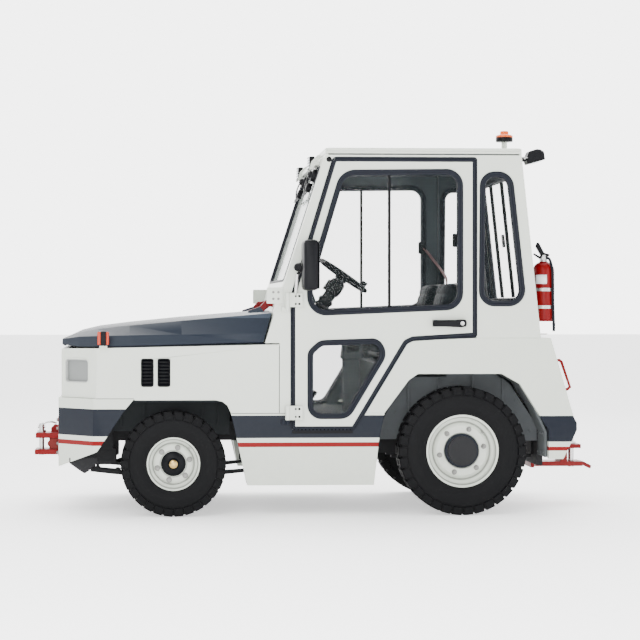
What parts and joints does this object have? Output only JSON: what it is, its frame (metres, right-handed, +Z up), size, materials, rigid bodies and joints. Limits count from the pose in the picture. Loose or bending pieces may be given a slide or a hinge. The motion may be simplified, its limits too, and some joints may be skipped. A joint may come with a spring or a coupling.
{
  "type": "airport baggage tug",
  "caption": "Closed-cab airport tow tractor with a bonnet in front, two doors, steered front wheels, large rear wheels and pin couplers at both ends.",
  "frame": {"origin": "on the ground under the middle of the machine", "axes": "-X forwards, +X to the rear, -Y to the machine's left, +Z up"},
  "size_m": [3.047, 1.83, 2.018],
  "materials": {
    "cream_paint": "satin light grey paint",
    "navy_paint": "satin dark blue paint",
    "red_paint": "gloss red paint",
    "black_paint": "black chassis paint",
    "tyre_rubber": "matt black rubber",
    "glass": "clear glass",
    "bright_steel": "turned steel",
    "grey_trim": "dark grey trim",
    "seat_vinyl": "black vinyl",
    "amber_lens": "amber lens",
    "cast_iron": "painted castings"
  },
  "bodies": {
    "root": {"chassis_frame": "black_paint", "front_axle": "cast_iron", "rear_axle": "cast_iron", "engine_block": "cast_iron", "front_bumper": "cream_paint", "wing_left": "cream_paint", "wing_right": "cream_paint", "headlight_left": "grey_trim", "headlight_right": "grey_trim", "nose_grille": "navy_paint", "cab_side_left": "cream_paint", "cab_side_right": "cream_paint", "quarter_window_left": "glass", "quarter_window_right": "glass", "cab_front": "cream_paint", "windscreen": "glass", "cab_rear": "cream_paint", "rear_window": "glass", "roof": "cream_paint", "cab_floor": "grey_trim", "seat_base": "grey_trim", "seat_left": "seat_vinyl", "seat_right": "seat_vinyl", "dashboard": "grey_trim", "side_box_left": "cream_paint", "side_box_right": "cream_paint", "rear_fender_left": "cream_paint", "rear_fender_right": "cream_paint", "rear_panel": "cream_paint", "front_coupler": "red_paint", "rear_coupler": "red_paint", "extinguisher": "red_paint", "beacon": "amber_lens", "rear_work_light": "black_paint", "work_light_bar": "cream_paint"},
    "left_knuckle": {"knuckle_left": "cast_iron"},
    "right_knuckle": {"knuckle_right": "cast_iron"},
    "tie_bar": {"tie_rod": "cast_iron"},
    "front_left_wheel": {"front_left_tyre": "tyre_rubber", "front_left_rim": "cream_paint"},
    "front_right_wheel": {"front_right_tyre": "tyre_rubber", "front_right_rim": "cream_paint"},
    "rear_left_wheel": {"rear_left_tyre": "tyre_rubber", "rear_left_rim": "cream_paint"},
    "rear_right_wheel": {"rear_right_tyre": "tyre_rubber", "rear_right_rim": "cream_paint"},
    "bonnet_lid": {"bonnet": "navy_paint"},
    "left_door": {"door_left": "cream_paint", "door_window_left": "glass", "lower_window_left": "glass"},
    "right_door": {"door_right": "cream_paint", "door_window_right": "glass", "lower_window_right": "glass"},
    "hand_wheel": {"steering_wheel": "black_paint"},
    "front_pin": {"front_coupler_pin": "bright_steel"},
    "rear_pin": {"rear_coupler_pin": "bright_steel"}
  },
  "joints": [
    {"name": "steer_left", "type": "hinge", "parent": "root", "child": "left_knuckle", "pos_m": [-0.771, -0.44, 0.271], "axis": [0, 0, 1], "range_deg": [-32, 32]},
    {"name": "steer_right", "type": "hinge", "parent": "root", "child": "right_knuckle", "pos_m": [-0.771, 0.44, 0.271], "axis": [0, 0, 1], "range_deg": [-32, 32]},
    {"name": "tie_rod_turn", "type": "hinge", "parent": "left_knuckle", "child": "tie_bar", "pos_m": [-0.641, -0.44, 0.3493], "axis": [0, 0, 1], "range_deg": [-32, 32]},
    {"name": "steering_wheel_turn", "type": "hinge", "parent": "root", "child": "hand_wheel", "pos_m": [0.135, -0.3, 1.243], "axis": [0.5736, 0, 0.8192], "range_deg": [-720, 720]},
    {"name": "front_left_spin", "type": "hinge", "parent": "left_knuckle", "child": "front_left_wheel", "pos_m": [-0.771, -0.5825, 0.271], "axis": [0, 1, 0], "continuous": true},
    {"name": "front_right_spin", "type": "hinge", "parent": "right_knuckle", "child": "front_right_wheel", "pos_m": [-0.771, 0.5825, 0.271], "axis": [0, 1, 0], "continuous": true},
    {"name": "rear_left_spin", "type": "hinge", "parent": "root", "child": "rear_left_wheel", "pos_m": [0.721, -0.5725, 0.332], "axis": [0, 1, 0], "continuous": true},
    {"name": "rear_right_spin", "type": "hinge", "parent": "root", "child": "rear_right_wheel", "pos_m": [0.721, 0.5725, 0.332], "axis": [0, 1, 0], "continuous": true},
    {"name": "bonnet_lift", "type": "hinge", "parent": "root", "child": "bonnet_lid", "pos_m": [-0.268, 0, 1.092], "axis": [0, 1, 0], "range_deg": [0, 60]},
    {"name": "door_left_swing", "type": "hinge", "parent": "root", "child": "left_door", "pos_m": [-0.19, -0.722, 0.445], "axis": [0, 0, -1], "range_deg": [0, 75]},
    {"name": "door_right_swing", "type": "hinge", "parent": "root", "child": "right_door", "pos_m": [-0.19, 0.722, 0.445], "axis": [0, 0, 1], "range_deg": [0, 75]},
    {"name": "front_pin_lift", "type": "slide", "parent": "root", "child": "front_pin", "axis": [0, 0, 1], "range_m": [0, 0.13]},
    {"name": "rear_pin_lift", "type": "slide", "parent": "root", "child": "rear_pin", "axis": [0, 0, 1], "range_m": [0, 0.14]}
  ],
  "couplings": [
    {"joint": "steer_right", "follows": "steer_left", "ratio": 1},
    {"joint": "tie_rod_turn", "follows": "steer_left", "ratio": -1},
    {"joint": "steering_wheel_turn", "follows": "steer_left", "ratio": 22.5}
  ]
}
